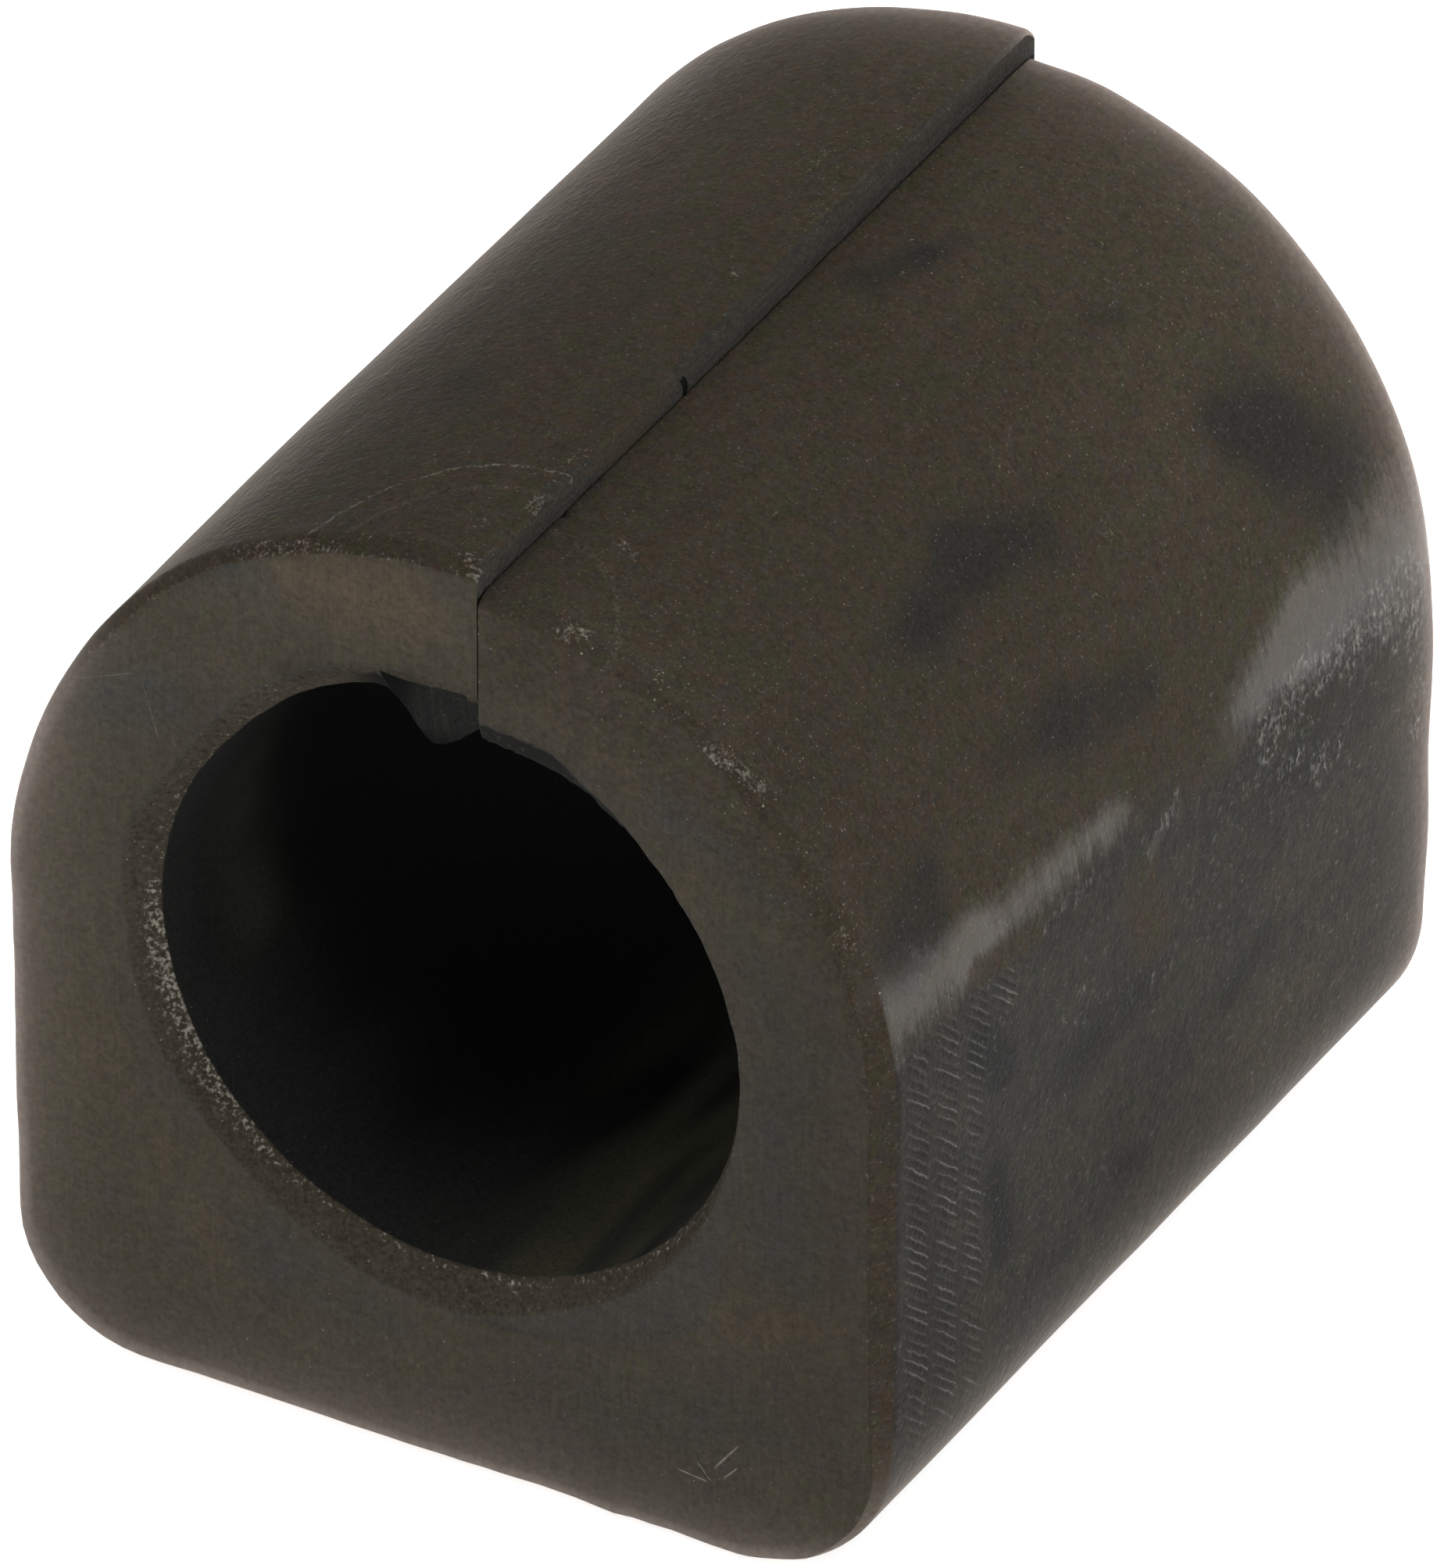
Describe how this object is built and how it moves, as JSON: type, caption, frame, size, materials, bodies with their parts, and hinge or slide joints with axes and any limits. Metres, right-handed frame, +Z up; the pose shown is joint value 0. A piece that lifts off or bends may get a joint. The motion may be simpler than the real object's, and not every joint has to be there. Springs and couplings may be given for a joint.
{
  "type": "sway bar bushing",
  "caption": "Split D-shaped rubber bushing with a lengthwise bore, a flat base, rounded base corners and an arched top for a bracket.",
  "frame": {"origin": "centre of the bore, halfway along its length", "axes": "+Y along the bore, away from the worn mouth; +Z up, away from the flat base and towards the slit"},
  "size_m": [0.0452, 0.0518, 0.0491],
  "materials": {
    "rubber": "dusty matte, with a worn sheen on the flanks"
  },
  "bodies": {
    "root": {"bushing": "rubber"}
  },
  "joints": []
}
